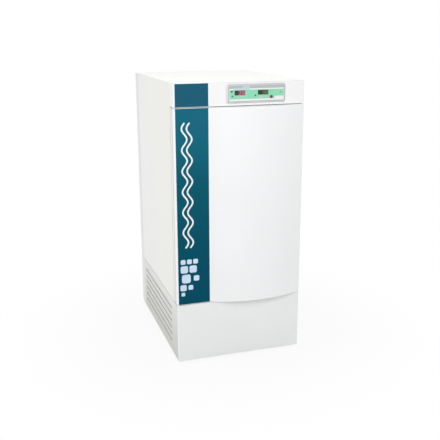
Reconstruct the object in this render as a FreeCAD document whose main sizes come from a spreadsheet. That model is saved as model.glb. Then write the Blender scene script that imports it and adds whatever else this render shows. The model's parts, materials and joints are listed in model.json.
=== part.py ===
import FreeCAD, Part
import math
import os
import re
import Sketcher

# Floor-standing incubated shaker cabinet, in millimetres.
# X is the width with +X to the right, the door faces -Y, and Z is up from the floor.
# The origin is on the floor, under the middle of the cabinet's box.

SIZES = {
    # Cabinet
    "case_width": 700,
    "case_depth": 950,
    "case_height": 1500,
    "sheet_wall": 1.5,
    "corner_round": 6,
    "skirt_gap": 12,
    "base_top": 335,
    "head_height": 117,
    "door_gap": 3.5,
    "seam_gap": 3,
    "ledge_drop": 5,
    "overrun": 2,
    # Door, with a flat strip on the left and a bowed front beside it
    "door_thick": 70,
    "skin_depth": 33,
    "door_bow": 55,
    "flat_strip": 186,
    "door_wall": 2,
    "foam_gap": 0.3,
    "grip_width": 10,
    "grip_depth": 14,
    "gasket_gap": 6,
    "gasket_inset": 24,
    "gasket_width": 18,
    "seat_gap": 0.3,
    "film_thick": 0.4,
    "film_start": 7,
    "film_end": 7,
    "film_rim": 2,
    # Hinge on the right
    "hinge_inset": 16,
    "hinge_setback": 18,
    "hinge_pin_r": 5,
    "hinge_fit": 0.05,
    "bush_r": 8,
    "bush_len": 20,
    "hinge_plate": 4,
    "hinge_plate_reach": 60,
    "hinge_margin": 3,
    # Insulated chamber
    "side_insulation": 62,
    "floor_insulation": 75,
    "top_insulation": 73,
    "back_insulation": 70,
    "duct_depth": 90,
    "duct_margin": 2,
    # Base
    "pan_level": 42,
    "pan_flange": 20,
    "post_side": 30,
    "post_wall": 2,
    "deck_thick": 4,
    "foot_r": 28,
    "foot_height": 14,
    "foot_stud_r": 6,
    "foot_inset": 70,
    "foot_nut_r": 11,
    "foot_nut_height": 6,
    "louvre_margin": 140,
    "louvre_low": 56,
    "louvre_top": 53,
    "louvre_slot": 12,
    "louvre_blade": 15,
    "rear_return": 85,
    "rear_step": 0.5,
    "rear_inset": 3,
    "vent_margin": 200,
    "vent_pitch": 16,
    "vent_slot": 6,
    "vent_drop": 141,
    # Control panel on the head
    "bezel_gap": 92,
    "bezel_margin": 108.5,
    "bezel_lift": 13,
    "bezel_drop": 10,
    "bezel_step": 6,
    "bezel_proud": 16,
    "bezel_slope": 8,
    "bezel_wall": 4,
    "bezel_corner": 12,
    "panel_inset_x": 13,
    "panel_low_share": 0.117,
    "panel_top_share": 0.772,
    "panel_thick": 1,
    "display_width": 56,
    "display_height": 23,
    "display_low_share": 0.424,
    "left_display_share": 0.217,
    "right_display_share": 0.606,
    "key_pitch": 15,
    "key_size": 8,
    "key_level_share": 0.301,
    "key_clear": 0.25,
    "key_travel": 0.8,
    "key_proud": 1.4,
    "key_flange": 1.5,
    "start_button_share": 0.746,
    "start_button_r": 8,
    "board_thick": 1.6,
    "switch_height": 1,
    # Mains inlet and switch, low on the rear panel
    "inlet_inset": 120,
    "inlet_level": 110,
    "inlet_width": 28,
    "inlet_height": 22,
    "inlet_depth": 24,
    "inlet_wall": 3,
    "inlet_flange": 2,
    "blade_width": 2,
    "blade_length": 16,
    "blade_spacing": 7,
    "rocker_spacing": 50,
    "rocker_width": 13,
    "rocker_height": 20,
    "rocker_proud": 1.5,
    "rocker_clear": 0.4,
    # Orbital drive
    "orbit": 12.5,
    "shaft_r": 12,
    "tube_r": 32,
    "tube_bore": 24,
    "tube_flange_r": 55,
    "tube_flange": 8,
    "bearing_height": 14,
    "running_fit": 0.05,
    "drive_plate": 8,
    "drive_inset_x": 10,
    "drive_inset_y": 40,
    "crank_r": 60,
    "crank_thick": 14,
    "crank_lift": 10,
    "crank_pin_r": 10,
    "weight_r": 105,
    "weight_edge": 30,
    "idler_inset": 60,
    "idler_shaft_r": 8,
    "idler_housing_r": 24,
    "idler_housing": 22,
    "idler_disc_r": 30,
    "idler_disc": 8,
    "disc_lift": 1,
    "boss_gap": 4,
    "platform_thick": 6,
    "platform_side_gap": 28,
    "platform_front_gap": 55,
    "platform_back_gap": 57.5,
    "platform_rim": 20,
    "boss_r": 24,
    "boss_drop": 26,
    "rack_height": 60,
    "rack_wall": 4,
    "bar_r": 8,
    "bar_margin": 68,
    "bar_lift": 46,
    # Belt drive and motor under the deck
    "belt_span": 200,
    "main_pulley_r": 70,
    "motor_pulley_r": 28,
    "pulley_height": 22,
    "pulley_drop": 61,
    "belt_thick": 4,
    "belt_width": 16,
    "belt_clear": 0.3,
    "motor_r": 55,
    "motor_height": 150,
    "motor_shaft_r": 7,
    "motor_plate": 6,
    "motor_plate_side": 160,
    "standoff_r": 6,
    "standoff_inset": 10,
    # Cooling and air
    "compressor_r": 92,
    "compressor_height": 150,
    "compressor_round": 38,
    "compressor_side_gap": 41,
    "compressor_setback": 140,
    "compressor_foot": 10,
    "condenser_setback": 311.5,
    "condenser_length": 330,
    "condenser_thick": 44,
    "condenser_height": 200,
    "condenser_gap": 14,
    "fin_thick": 1.2,
    "tube_pipe_r": 4,
    "shroud_thick": 4,
    "fan_r": 66,
    "fan_clear": 5,
    "fan_hub_r": 20,
    "fan_depth": 20,
    "fan_blade": 1.8,
    "fan_chord": 40,
    "fan_gap": 6,
    "fan_shaft_r": 4,
    "fan_motor_r": 38,
    "fan_motor_length": 44,
    "circulation_drop": 130,
    "evaporator_margin": 98,
    "evaporator_height": 220,
    "evaporator_depth": 60,
    "evaporator_drop": 510,
    "heater_drop": 110,
    "heater_margin": 108,
    "heater_r": 4,
    "heater_pitch": 24,
    "heater_stand": 40,
    # Shelf
    "shelf_lift": 550,
    "shelf_wire": 2.5,
    "shelf_frame": 4,
    "shelf_margin": 20,
    "shelf_front_gap": 30,
    "strip_width": 22,
    "strip_thick": 2.5,
    "strip_end": 20,
    "clip_height": 8,
}

# Places worked out from the sizes, as expressions
PLACES = {
    "side_x": "case_width / 2",
    "front_y": "(door_bow - case_depth) / 2",
    "rear_y": "(door_bow + case_depth) / 2",
    "roof_low": "case_height - sheet_wall",
    "head_low": "case_height - head_height",
    "door_top": "head_low - door_gap",
    "door_low": "base_top + door_gap",
    "door_back": "front_y + door_thick",
    "face_y": "door_back + gasket_gap",
    "face_back": "face_y + sheet_wall",
    "seam_low": "base_top - ledge_drop",
    "side_low": "seam_low + seam_gap",
    "inner_x": "side_x - rear_step - sheet_wall",
    "rear_face": "rear_y - rear_inset",
    "rear_inner": "rear_face - sheet_wall",
    "return_y": "rear_y - rear_return",
    "pan_top": "pan_level + sheet_wall",
    "deck_low": "base_top - deck_thick",
    # Chamber
    "chamber_x": "side_x - side_insulation",
    "chamber_floor": "base_top + floor_insulation",
    "chamber_top": "head_low - top_insulation",
    "chamber_back": "rear_y - back_insulation",
    "duct_y": "chamber_back - duct_depth",
    "shelf_level": "chamber_floor + shelf_lift",
    # Slots for air
    "louvre_low_z": "skirt_gap + louvre_low",
    "louvre_rise": "seam_low - louvre_top - louvre_slot - louvre_low_z",
    "vent_x": "side_x - vent_margin",
    "vent_low": "deck_low - vent_drop",
    # Door bow: a circle through the strip's edge and the door's right edge
    "bow_x": "flat_strip - side_x",
    "bow_half": "(side_x - bow_x) / 2",
    "bow_mid": "(side_x + bow_x) / 2",
    "bow_r": "(bow_half^2 + door_bow^2) / (2 * door_bow)",
    "bow_y": "front_y - door_bow + bow_r",
    "hinge_x": "side_x - hinge_inset",
    "hinge_y": "front_y + hinge_setback",
    # Control panel
    "film_edge": "bow_x - film_end",
    "bezel_front": "front_y - bezel_proud",
    "bezel_left": "film_edge + bezel_gap",
    "bezel_right": "side_x - bezel_margin",
    "bezel_width": "bezel_right - bezel_left",
    "bezel_low": "head_low + bezel_lift",
    "bezel_top": "case_height - bezel_drop",
    "bezel_height": "bezel_top - bezel_low",
    "panel_low": "bezel_low + bezel_height * panel_low_share",
    "panel_top": "bezel_low + bezel_height * panel_top_share",
    "display_low": "bezel_low + bezel_height * display_low_share",
    "left_display_x": "bezel_left + bezel_width * left_display_share",
    "right_display_x": "bezel_left + bezel_width * right_display_share",
    "key_level": "bezel_low + bezel_height * key_level_share",
    "start_button_x": "bezel_left + bezel_width * start_button_share",
    "bezel_back": "bezel_front + bezel_wall",
    "flange_back": "bezel_back + seat_gap + key_flange",
    "switch_y": "flange_back + key_travel + seat_gap",
    "board_y": "switch_y + switch_height",
    "inlet_x": "inlet_inset - side_x",
    "rocker_x": "inlet_x + rocker_spacing",
    # Orbital drive
    "platform_x": "chamber_x - platform_side_gap",
    "platform_front": "face_back + platform_front_gap",
    "platform_back": "duct_y - platform_back_gap",
    "platform_level": "crank_top + boss_gap + boss_drop",
    "drive_y": "(platform_front + platform_back) / 2",
    "drive_x": "platform_x - drive_inset_x",
    "drive_half_y": "(platform_back - platform_front) / 2 - drive_inset_y",
    "idler_x": "drive_x - idler_inset",
    "idler_y": "drive_half_y - idler_inset",
    "plate_top": "chamber_floor + drive_plate",
    "flange_top": "plate_top + tube_flange",
    "crank_low": "flange_top + crank_lift",
    "crank_top": "crank_low + crank_thick",
    "idler_top": "plate_top + idler_housing",
    "disc_low": "idler_top + disc_lift",
    "boss_low": "platform_level - boss_drop",
    "mat_top": "platform_level + platform_thick",
    "motor_y": "drive_y + belt_span",
    "pulley_level": "deck_low - pulley_drop",
    "pulley_top": "pulley_level + pulley_height",
    "belt_low": "pulley_level + (pulley_height - belt_width) / 2",
    "motor_plate_top": "pulley_level - fan_gap",
    "motor_plate_low": "motor_plate_top - motor_plate",
    "belt_lean": "(main_pulley_r - motor_pulley_r) / belt_span",
    "belt_rise": "sqrt(1 - belt_lean^2)",
    # Air
    "compressor_x": "inner_x - compressor_side_gap - compressor_r",
    "compressor_y": "face_y + compressor_setback",
    "condenser_x": "condenser_gap - inner_x",
    "condenser_y": "face_y + condenser_setback",
    "shroud_x": "condenser_x + condenser_thick",
    "condenser_mid": "condenser_y + condenser_length / 2",
    "condenser_axis": "pan_top + condenser_height / 2",
    "fan_low": "shroud_x + shroud_thick + fan_gap",
    "fan_high": "fan_low + fan_depth",
    "air_fan_y": "duct_y + sheet_wall + fan_gap",
    "circulation_level": "chamber_top - circulation_drop",
    "evaporator_x": "chamber_x - evaporator_margin",
    "evaporator_level": "chamber_top - evaporator_drop",
    "heater_x": "chamber_x - heater_margin",
    "heater_level": "evaporator_level - heater_drop",
}

doc = FreeCAD.newDocument("shaking_incubator")
sheet = doc.addObject("Spreadsheet::Sheet", "Sizes")
sub_parts = []


def fill_sheet():
    for row, (alias, value) in enumerate(SIZES.items(), 1):
        sheet.set("A%d" % row, alias)
        sheet.set("B%d" % row, str(value))
        sheet.setAlias("B%d" % row, alias)
    doc.recompute()


def bound(text):
    """Turn a sum of named sizes and places into an expression on the sheet."""
    def word(match):
        name = match.group(0)
        if name in PLACES:
            return "(" + bound(PLACES[name]) + ")"
        return "Sizes." + name if name in SIZES else name
    return re.sub(r"[A-Za-z_]\w*", word, str(text))


def value(text):
    return float(sheet.evalExpression(bound(text)))


def bind(thing, prop, text):
    thing.setExpression(prop, bound(text))


def place(thing, at, axis=(0, 0, 1), angle=0):
    """Put a thing at a point given by three sums, turned about an axis by an angle."""
    spin = FreeCAD.Rotation(FreeCAD.Vector(*axis), angle)
    thing.Placement = FreeCAD.Placement(FreeCAD.Vector(*[value(text) for text in at]), spin)
    for letter, text in zip("xyz", at):
        bind(thing, "Placement.Base." + letter, text)
    return thing


def box(x, y, z):
    """A block between two sums along each axis."""
    block = doc.addObject("Part::Box", "Block")
    for prop, (low, high) in zip(("Length", "Width", "Height"), (x, y, z)):
        bind(block, prop, "(%s) - (%s)" % (high, low))
    return place(block, (x[0], y[0], z[0]))


TURNS = {"x": ((0, 1, 0), 90), "y": ((1, 0, 0), -90), "z": ((0, 0, 1), 0)}


def rod(radius, span, centre, along="z"):
    """A round bar between two sums along one axis, centred on two sums across it."""
    bar = doc.addObject("Part::Cylinder", "Bar")
    bind(bar, "Radius", radius)
    bind(bar, "Height", "(%s) - (%s)" % (span[1], span[0]))
    at = list(centre)
    at.insert("xyz".index(along), span[0])
    axis, angle = TURNS[along]
    return place(bar, at, axis, angle)


def fuse(*things):
    whole = doc.addObject("Part::MultiFuse", "Joined")
    whole.Shapes = list(things)
    return whole


def group(*things):
    """Separate solids that share one sub-part."""
    whole = doc.addObject("Part::Compound", "Set")
    whole.Links = list(things)
    return whole


def cut(base, *tools):
    rest = doc.addObject("Part::Cut", "Cut")
    rest.Base = base
    rest.Tool = tools[0] if len(tools) == 1 else group(*tools)
    return rest


def common(first, second):
    shared = doc.addObject("Part::Common", "Shared")
    shared.Base = first
    shared.Tool = second
    return shared


def mirrored(thing):
    """The same piece on the other side of the cabinet's middle."""
    twin = doc.addObject("Part::Mirroring", "Twin")
    twin.Source = thing
    twin.Base = FreeCAD.Vector(0, 0, 0)
    twin.Normal = FreeCAD.Vector(1, 0, 0)
    return twin


def sub_part(name, thing):
    thing.Label = name
    sub_parts.append(thing)
    return thing


def outline(body, start, legs):
    """A closed sketch seen from above. A leg ends at a point. An arc adds its radius and a point on it."""
    sketch = body.newObject("Sketcher::SketchObject", "Outline")
    level = [plane for plane in body.Origin.OriginFeatures if plane.Role == "XY_Plane"][0]
    sketch.AttachmentSupport = (level, [""])
    sketch.MapMode = "FlatFace"
    corners = [start] + [leg[0] for leg in legs]
    spots = [FreeCAD.Vector(value(x), value(y), 0) for x, y in corners]
    ends = []
    for index, leg in enumerate(legs):
        if len(leg) == 1:
            edge = sketch.addGeometry(Part.LineSegment(spots[index], spots[index + 1]), False)
            ends.append((edge, 1, 2))
            continue
        middle = FreeCAD.Vector(value(leg[2][0]), value(leg[2][1]), 0)
        edge = sketch.addGeometry(Part.Arc(spots[index], middle, spots[index + 1]), False)
        forward = sketch.getPoint(edge, 1).distanceToPoint(spots[index]) < value("seat_gap")
        ends.append((edge, 1, 2) if forward else (edge, 2, 1))
        radius = sketch.addConstraint(Sketcher.Constraint("Radius", edge, value(leg[1])))
        sketch.setExpression("Constraints[%d]" % radius, bound(leg[1]))
    for index, (edge, first, last) in enumerate(ends):
        following = ends[(index + 1) % len(ends)]
        sketch.addConstraint(Sketcher.Constraint("Coincident", edge, last, following[0], following[1]))
    for (edge, first, last), (x, y), spot in zip(ends, corners, spots):
        for kind, text, now in (("DistanceX", x, spot.x), ("DistanceY", y, spot.y)):
            fixed = sketch.addConstraint(Sketcher.Constraint(kind, -1, 1, edge, first, now))
            sketch.setExpression("Constraints[%d]" % fixed, bound(text))
    return sketch


def padded(name, start, legs, low, high):
    """A body raised from an outline, between two levels."""
    body = doc.addObject("PartDesign::Body", name)
    sketch = outline(body, start, legs)
    bind(sketch, "AttachmentOffset.Base.z", low)
    pad = body.newObject("PartDesign::Pad", "Raised")
    pad.Profile = sketch
    bind(pad, "Length", "(%s) - (%s)" % (high, low))
    doc.recompute()
    return body


def rounded(body, radius, wanted):
    """Round the edges of a body's last feature whose middle point the test accepts."""
    base = body.Tip
    names = []
    for index, edge in enumerate(base.Shape.Edges, 1):
        if wanted(edge, edge.valueAt((edge.FirstParameter + edge.LastParameter) / 2)):
            names.append("Edge%d" % index)
    fillet = body.newObject("PartDesign::Fillet", "Rounding")
    fillet.Base = (base, names)
    bind(fillet, "Radius", radius)
    doc.recompute()
    return body


def is_upright(edge):
    ends = edge.Vertexes
    return len(ends) == 2 and abs(ends[0].Z - ends[1].Z) > value("seat_gap")


def front_corner(edge, middle):
    return is_upright(edge) and middle.y < value("front_y + corner_round")


def rectangle(x, y):
    start = (x[0], y[0])
    return start, [((x[1], y[0]),), ((x[1], y[1]),), ((x[0], y[1]),), (start,)]


def shell_block(name, inset, back, low, high):
    """The cabinet's front end seen from above, with rounded front corners."""
    start, legs = rectangle(("%s - side_x" % inset, "side_x - %s" % inset), ("front_y + %s" % inset, back))
    body = padded(name, start, legs, low, high)
    return rounded(body, "corner_round - %s" % inset, front_corner)


# Base


def make_feet():
    feet = []
    for x in ("foot_inset - side_x", "side_x - foot_inset"):
        for y in ("front_y + foot_inset", "rear_y - foot_inset"):
            pad = rod("foot_r", ("0", "foot_height"), (x, y))
            stud = rod("foot_stud_r", ("foot_height", "pan_level"), (x, y))
            nut = doc.addObject("Part::Prism", "Nut")
            nut.Polygon = 6
            bind(nut, "Circumradius", "foot_nut_r")
            bind(nut, "Height", "foot_nut_height")
            place(nut, (x, y, "pan_level - foot_nut_height"))
            feet.append(fuse(pad, stud, nut))
    sub_part("levelling_feet", group(*feet))


def make_base_pan():
    inset = "(sheet_wall + rear_step)"
    low = "pan_level - pan_flange"
    tray = shell_block("BasePan", inset, "rear_inner", low, "pan_top")
    hollow = box(
        ("sheet_wall - inner_x", "inner_x - sheet_wall"),
        ("front_y + corner_round", "rear_inner - sheet_wall"),
        ("%s - overrun" % low, "pan_level"),
    )
    sub_part("base_pan", cut(tray, hollow))


def make_posts():
    posts = []
    for x in ("-inner_x", "inner_x - post_side"):
        for y in ("face_y", "rear_inner - post_side"):
            outer = box((x, "%s + post_side" % x), (y, "%s + post_side" % y), ("pan_top", "deck_low"))
            inner = box(
                ("%s + post_wall" % x, "%s + post_side - post_wall" % x),
                ("%s + post_wall" % y, "%s + post_side - post_wall" % y),
                ("pan_top - overrun", "deck_low + overrun"),
            )
            posts.append(cut(outer, inner))
    sub_part("corner_posts", group(*posts))


def make_deck():
    plate = box(("-inner_x", "inner_x"), ("face_y", "rear_inner"), ("deck_low", "base_top"))
    hole = rod("tube_bore", ("deck_low - overrun", "base_top + overrun"), ("0", "drive_y"))
    sub_part("deck_plate", cut(plate, hole))


def make_base_front():
    returns = "front_y + 2 * corner_round"
    outer = shell_block("BaseFront", "0", returns, "skirt_gap", "base_top")
    inner = shell_block(
        "BaseFrontHollow",
        "sheet_wall",
        "%s + overrun" % returns,
        "skirt_gap - overrun",
        "base_top - sheet_wall",
    )
    ledge = box(("-side_x", "side_x"), (returns, "face_y"), ("base_top - sheet_wall", "base_top"))
    pin_hole = rod(
        "hinge_pin_r + seat_gap",
        ("base_top - 2 * sheet_wall", "base_top + overrun"),
        ("hinge_x", "hinge_y"),
    )
    sub_part("base_front_panel", cut(fuse(cut(outer, inner), ledge), pin_hole))


LOUVRES = 6
LOUVRE_TILT = 50


def make_louvre_panels():
    front = "front_y + 2 * corner_round"
    back = "return_y"
    panel = box(("-side_x", "sheet_wall - side_x"), (front, back), ("skirt_gap", "seam_low"))
    slots = []
    blades = []
    ends = ("front_y + louvre_margin", "rear_y - louvre_margin")
    for index in range(LOUVRES):
        low = "louvre_low_z + louvre_rise * %d / %d" % (index, LOUVRES - 1)
        across = ("-side_x - overrun", "sheet_wall - side_x + overrun")
        slots.append(box(across, ends, (low, "%s + louvre_slot" % low)))
        blade = box(("0", "louvre_blade"), ends, ("0", "sheet_wall"))
        hem = ("sheet_wall - side_x", ends[0], "%s - sheet_wall" % low)
        blades.append(place(blade, hem, (0, 1, 0), -LOUVRE_TILT))
    left = sub_part("louvre_panel_left", fuse(cut(panel, *slots), *blades))
    sub_part("louvre_panel_right", mirrored(left))


# Outer shell


def make_side_panels():
    left = box(("-side_x", "sheet_wall - side_x"), ("face_back", "return_y"), ("side_low", "roof_low"))
    sub_part("side_panel_left", left)
    sub_part("side_panel_right", mirrored(left))


VENTS = 8


def make_rear_panel():
    half = "side_x - rear_step"
    front = "return_y + rear_step"
    outer = box(("-(%s)" % half, half), (front, "rear_face"), ("skirt_gap", "roof_low"))
    inner = box(
        ("-inner_x", "inner_x"),
        ("%s - overrun" % front, "rear_inner"),
        ("skirt_gap - overrun", "roof_low + overrun"),
    )
    through = ("rear_inner - overrun", "rear_face + overrun")
    holes = []
    for index in range(VENTS):
        low = "vent_low + %d * vent_pitch" % index
        holes.append(box(("-vent_x", "vent_x"), through, (low, "%s + vent_slot" % low)))
    for x, width, height in (
        ("inlet_x", "inlet_width + 2 * inlet_wall", "inlet_height + 2 * inlet_wall"),
        ("rocker_x", "rocker_width + 2 * rocker_clear", "rocker_height + 2 * rocker_clear"),
    ):
        holes.append(box(
            ("%s - (%s) / 2" % (x, width), "%s + (%s) / 2" % (x, width)),
            through,
            ("inlet_level - (%s) / 2" % height, "inlet_level + (%s) / 2" % height),
        ))
    sub_part("rear_panel", cut(cut(outer, inner), *holes))


def make_head():
    outer = shell_block("HeadFascia", "0", "face_back", "head_low", "roof_low")
    inner = shell_block(
        "HeadHollow",
        "sheet_wall",
        "face_back + overrun",
        "head_low + sheet_wall",
        "roof_low + overrun",
    )
    window = box(
        ("bezel_left + 2 * panel_inset_x", "bezel_right - 2 * panel_inset_x"),
        ("front_y - overrun", "front_y + sheet_wall + overrun"),
        ("bezel_low + panel_inset_x", "bezel_top - panel_inset_x"),
    )
    pin_hole = rod(
        "hinge_pin_r + seat_gap",
        ("head_low - overrun", "head_low + 2 * sheet_wall"),
        ("hinge_x", "hinge_y"),
    )
    sub_part("head_fascia", cut(cut(outer, inner), window, pin_hole))
    sub_part("top_cover", shell_block("TopCover", "0", "rear_y", "roof_low", "case_height"))


def make_front_frame():
    plate = box(("-side_x", "side_x"), ("face_y", "face_back"), ("base_top", "head_low"))
    opening = box(
        ("-chamber_x", "chamber_x"),
        ("face_y - overrun", "face_back + overrun"),
        ("chamber_floor", "chamber_top"),
    )
    sub_part("front_frame", cut(plate, opening))


def make_chamber():
    wall = "sheet_wall"
    outer = (
        ("-chamber_x - %s" % wall, "chamber_x + %s" % wall),
        ("face_back", "chamber_back + %s" % wall),
        ("chamber_floor - %s" % wall, "chamber_top + %s" % wall),
    )
    inner = box(
        ("-chamber_x", "chamber_x"),
        ("face_back - overrun", "chamber_back"),
        ("chamber_floor", "chamber_top"),
    )
    hole = rod("tube_r + seat_gap", ("base_top - overrun", "chamber_floor + overrun"), ("0", "drive_y"))
    sub_part("chamber_liner", cut(box(*outer), inner, hole))
    block = box(("-inner_x", "inner_x"), ("face_back", "rear_inner"), ("base_top", "head_low"))
    sub_part("insulation", cut(block, box(*outer), hole))


# Door


def door_outline(inset, back):
    """The door seen from above: a flat strip on the left, then the bow up to the right edge."""
    left = "%s - side_x" % inset
    right = "side_x - (%s)" % inset
    front = "front_y + %s" % inset
    radius = "bow_r - (%s)" % inset
    start_x = "bow_mid - sqrt((%s)^2 - (bow_y - (%s))^2)" % (radius, front)
    end_y = "bow_y - sqrt((%s)^2 - (bow_half - (%s))^2)" % (radius, inset)
    legs = [
        ((start_x, front),),
        ((right, end_y), radius, ("bow_mid", "bow_y - (%s)" % radius)),
        ((right, back),),
        ((left, back),),
        ((left, front),),
    ]
    return (left, front), legs


def make_door():
    seam = "front_y + skin_depth"
    start, legs = door_outline("0", seam)
    skin = padded("DoorSkin", start, legs, "door_low", "door_top")
    rounded(skin, "corner_round", lambda edge, middle: is_upright(edge)
            and abs(abs(middle.x) - value("side_x")) < value("seat_gap")
            and middle.y < value("front_y + seat_gap"))
    start, legs = door_outline("door_wall", "%s + overrun" % seam)
    hollow = padded("DoorHollow", start, legs, "door_low + door_wall", "door_top - door_wall")
    ends = (("door_low - overrun", "door_low + bush_len"), ("door_top - bush_len", "door_top + overrun"))
    bores = [rod("bush_r", span, ("hinge_x", "hinge_y")) for span in ends]
    sub_part("door_skin", cut(cut(skin, hollow), *bores))

    outer = box(("-side_x", "side_x"), (seam, "door_back"), ("door_low", "door_top"))
    groove = box(
        ("-side_x - overrun", "grip_depth - side_x"),
        ("%s - overrun" % seam, "%s + grip_width" % seam),
        ("door_low - overrun", "door_top + overrun"),
    )
    inside = (
        ("grip_depth + door_wall - side_x", "side_x - door_wall"),
        ("%s - overrun" % seam, "door_back - door_wall"),
        ("door_low + door_wall", "door_top - door_wall"),
    )
    sub_part("door_liner", cut(outer, groove, box(*inside)))

    start, legs = door_outline("(door_wall + foam_gap)", seam)
    front_foam = padded("DoorFoam", start, legs, "door_low + door_wall", "door_top - door_wall")
    rear_foam = box(inside[0], (seam, inside[1][1]), inside[2])
    pockets = [rod("bush_r", span, ("hinge_x", "hinge_y")) for span in ends]
    sub_part("door_core", cut(fuse(front_foam, rear_foam), *pockets))


def make_door_fittings():
    bushes = []
    for low, high, mouth_low, mouth_high in (
        ("door_low", "door_low + bush_len", "door_low - overrun", "door_low + bush_len - hinge_plate"),
        ("door_top - bush_len", "door_top", "door_top - bush_len + hinge_plate", "door_top + overrun"),
    ):
        centre = ("hinge_x", "hinge_y")
        bush = rod("bush_r", (low, high), centre)
        bushes.append(cut(bush, rod("hinge_pin_r + hinge_fit", (mouth_low, mouth_high), centre)))
    sub_part("door_bushes", group(*bushes))

    outer = ("gasket_inset - side_x", "side_x - gasket_inset")
    levels = ("door_low + gasket_inset", "door_top - gasket_inset")
    ring = box(outer, ("door_back", "face_y - seat_gap"), levels)
    hole = box(
        ("%s + gasket_width" % outer[0], "%s - gasket_width" % outer[1]),
        ("door_back - overrun", "face_y + overrun"),
        ("%s + gasket_width" % levels[0], "%s - gasket_width" % levels[1]),
    )
    sub_part("door_gasket", cut(ring, hole))

    film = ("film_start - side_x", "film_edge")
    depth = ("front_y - film_thick", "front_y")
    sub_part("door_stripe", box(film, depth, ("door_low + film_rim", "door_top - film_rim")))
    sub_part("head_stripe", box(film, depth, ("head_low + film_rim", "roof_low")))


def make_hinge_brackets():
    brackets = []
    reach = "bush_len - hinge_plate - seat_gap"
    for low, pin in (
        ("head_low + sheet_wall", ("door_top - (%s)" % reach, "head_low + sheet_wall + hinge_plate")),
        (
            "base_top - sheet_wall - hinge_plate",
            ("base_top - sheet_wall - hinge_plate", "door_low + %s" % reach),
        ),
    ):
        plate = box(
            ("side_x - hinge_plate_reach", "side_x - sheet_wall"),
            ("front_y + sheet_wall + hinge_margin", "face_y - hinge_margin"),
            (low, "%s + hinge_plate" % low),
        )
        brackets.append(fuse(plate, rod("hinge_pin_r", pin, ("hinge_x", "hinge_y"))))
    sub_part("hinge_brackets", group(*brackets))


# Control panel

KEYS = {
    "left_set_key": "left_display_x - key_pitch",
    "left_down_key": "left_display_x",
    "left_up_key": "left_display_x + key_pitch",
    "right_set_key": "right_display_x - key_pitch",
    "right_down_key": "right_display_x",
    "right_up_key": "right_display_x + key_pitch",
}


def key_hole(x, spare, depth):
    half = "key_size / 2 + %s" % spare
    return box(
        ("%s - (%s)" % (x, half), "%s + (%s)" % (x, half)),
        depth,
        ("key_level - (%s)" % half, "key_level + (%s)" % half),
    )


def display_block(x, spare, depth):
    return box(
        ("%s - display_width / 2 - %s" % (x, spare), "%s + display_width / 2 + %s" % (x, spare)),
        depth,
        ("display_low - %s" % spare, "display_low + display_height + %s" % spare),
    )


def panel_holes(depth):
    holes = [key_hole(x, "key_clear", depth) for x in KEYS.values()]
    holes += [display_block(x, "key_clear", depth) for x in ("left_display_x", "right_display_x")]
    holes.append(rod("start_button_r + key_clear", depth, ("start_button_x", "key_level"), "y"))
    return holes


def tapered(x, z, inset_x, inset_z, front, depth):
    """A block whose front face is drawn in from its back face by two insets."""
    block = doc.addObject("Part::Wedge", "Tapered")
    bind(block, "Ymin", "0")
    bind(block, "Ymax", depth)
    for letter, (low, high), inset in (("X", x, inset_x), ("Z", z, inset_z)):
        bind(block, letter + "min", "%s + %s" % (low, inset))
        bind(block, letter + "max", "%s - %s" % (high, inset))
        bind(block, letter + "2min", low)
        bind(block, letter + "2max", high)
    return place(block, ("0", front, "0"))


def bezel_slab(inset, front, depth):
    """A slab of the bezel's outline with round corners, its front face drawn in by an inset."""
    across = ("bezel_left", "bezel_right")
    up = ("bezel_low", "bezel_top")
    centres_x, centres_z = [
        ("%s + bezel_corner" % low, "%s - bezel_corner" % high) for low, high in (across, up)
    ]
    pieces = [tapered(across, centres_z, inset, "0", front, depth)]
    pieces.append(tapered(centres_x, up, "0", inset, front, depth))
    for x in centres_x:
        for z in centres_z:
            corner = doc.addObject("Part::Cone", "Corner")
            bind(corner, "Radius1", "bezel_corner - %s" % inset)
            bind(corner, "Radius2", "bezel_corner")
            bind(corner, "Height", depth)
            pieces.append(place(corner, (x, front, z), *TURNS["y"]))
    return fuse(*pieces)


def make_bezel():
    slope = bezel_slab("bezel_slope", "bezel_front", "bezel_proud - bezel_step")
    step = bezel_slab("0", "front_y - bezel_step", "bezel_step")
    hollow = box(
        ("bezel_left + panel_inset_x", "bezel_right - panel_inset_x"),
        ("bezel_back", "front_y + overrun"),
        ("bezel_low + panel_inset_x - bezel_step", "bezel_top - panel_inset_x"),
    )
    face = ("bezel_left + panel_inset_x", "bezel_right - panel_inset_x")
    recess = box(face, ("bezel_front - overrun", "bezel_front + panel_thick"), ("panel_low", "panel_top"))
    holes = panel_holes(("bezel_front - overrun", "bezel_back + overrun"))
    sub_part("control_bezel", cut(fuse(slope, step), hollow, recess, *holes))

    sheet_depth = ("bezel_front", "bezel_front + panel_thick")
    film = box(face, sheet_depth, ("panel_low", "panel_top"))
    sub_part("membrane_panel", cut(film, *panel_holes(("bezel_front - overrun", "bezel_back"))))


def make_controls():
    depth = ("bezel_front + panel_thick / 2", "board_y")
    displays = [display_block(x, "0", depth) for x in ("left_display_x", "right_display_x")]
    sub_part("display_windows", group(*displays))

    board = box(
        ("bezel_left + panel_inset_x", "bezel_right - panel_inset_x"),
        ("board_y", "board_y + board_thick"),
        ("bezel_low + panel_inset_x - bezel_step", "bezel_top - panel_inset_x"),
    )
    switches = [key_hole(x, "0", ("switch_y", "board_y")) for x in KEYS.values()]
    switches.append(key_hole("start_button_x", "0", ("switch_y", "board_y")))
    sub_part("control_board", fuse(board, *switches))

    flange = ("bezel_back + seat_gap", "flange_back")
    for name, x in KEYS.items():
        cap = key_hole(x, "0", ("bezel_front - key_proud", flange[0]))
        sub_part(name, fuse(cap, key_hole(x, "key_flange", flange)))
    centre = ("start_button_x", "key_level")
    cap = rod("start_button_r", ("bezel_front - key_proud", flange[0]), centre, "y")
    sub_part("start_button", fuse(cap, rod("start_button_r + key_flange", flange, centre, "y")))


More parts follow.
